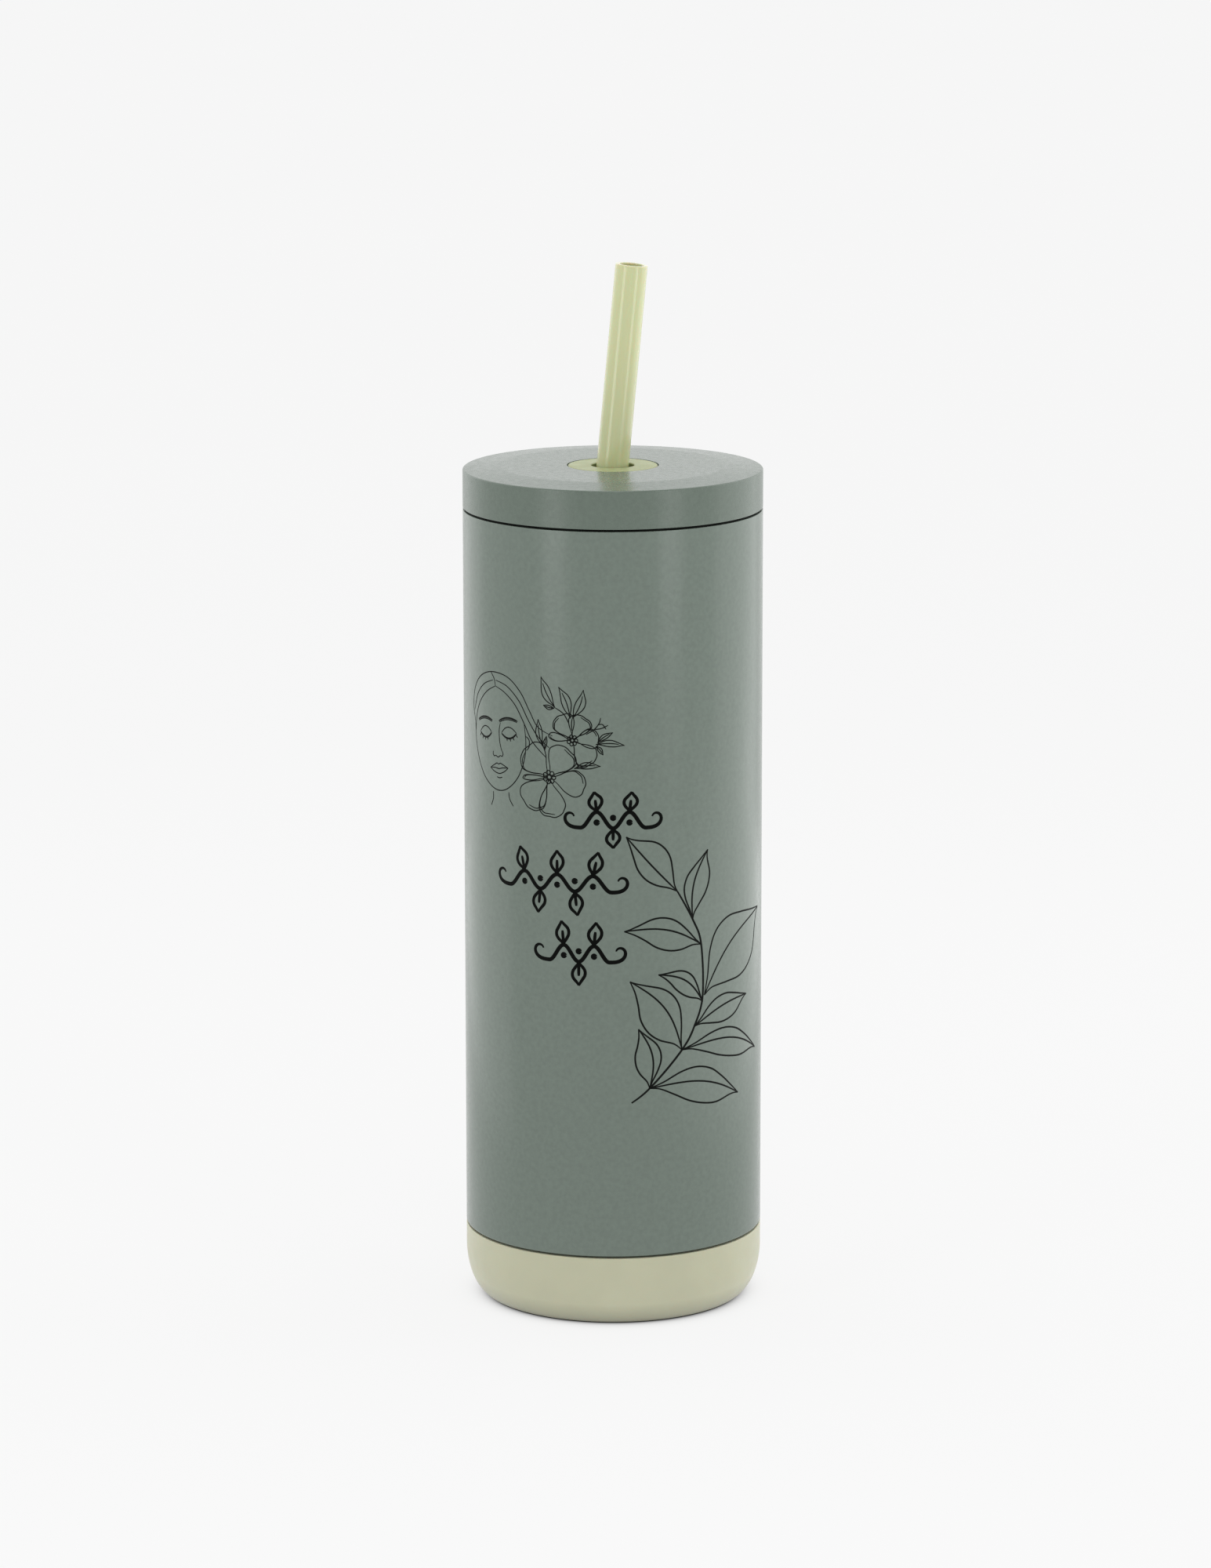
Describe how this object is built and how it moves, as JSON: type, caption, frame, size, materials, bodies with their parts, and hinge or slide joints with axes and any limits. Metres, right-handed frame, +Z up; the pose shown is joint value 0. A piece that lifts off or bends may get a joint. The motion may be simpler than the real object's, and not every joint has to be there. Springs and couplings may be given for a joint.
{
  "type": "insulated straw tumbler",
  "caption": "Straight double-walled steel cup with a flat press-in lid, a straw leaning in a rubber grommet and a soft boot on its base.",
  "frame": {"origin": "centre of the boot's flat underside", "axes": "+Z up along the cup's axis, -Y towards the printed front, +X the side the straw leans to"},
  "size_m": [0.074, 0.074, 0.2598],
  "materials": {
    "powder_coat": "satin",
    "steel": "satin",
    "copper": "satin",
    "getter_metal": "matte",
    "solder_glass": "gloss",
    "boot_silicone": "matte",
    "lid_plastic": "satin",
    "plug_plastic": "satin",
    "foam": "matte",
    "gasket_silicone": "satin",
    "grommet_silicone": "satin",
    "seal_silicone": "satin",
    "straw_plastic": "gloss",
    "print_ink": "satin"
  },
  "bodies": {
    "cup": {"outer_shell": "powder_coat", "outer_bottom": "steel", "inner_liner": "steel", "inner_bottom": "steel", "copper_foil": "copper", "getter_capsule": "getter_metal", "getter_clip": "steel", "seal_bead": "solder_glass", "seal_cover": "steel"},
    "boot": {"base_boot": "boot_silicone"},
    "lid": {"lid_cap": "lid_plastic", "lid_plug": "plug_plastic", "lid_insulation": "foam", "lid_gasket": "gasket_silicone"},
    "grommet": {"straw_grommet": "grommet_silicone"},
    "seal": {"straw_seal": "seal_silicone"},
    "straw_tube": {"straw": "straw_plastic"}
  },
  "joints": [
    {"name": "boot_pull", "type": "slide", "parent": "cup", "child": "boot", "axis": [0, 0, -1], "range_m": [0, 0.025]},
    {"name": "lid_lift", "type": "slide", "parent": "cup", "child": "lid", "axis": [0, 0, 1], "range_m": [0, 0.2]},
    {"name": "grommet_pull", "type": "slide", "parent": "lid", "child": "grommet", "axis": [0, 0, 1], "range_m": [0, 0.018]},
    {"name": "straw_lean", "type": "hinge", "parent": "grommet", "child": "seal", "pos_m": [-0.0003, 0, 0.20727], "axis": [0, 1, 0], "range_deg": [-11.4, 0.6]},
    {"name": "straw_slide", "type": "slide", "parent": "seal", "child": "straw_tube", "axis": [0.0941, 0, 0.9956], "range_m": [0, 0.2]}
  ]
}
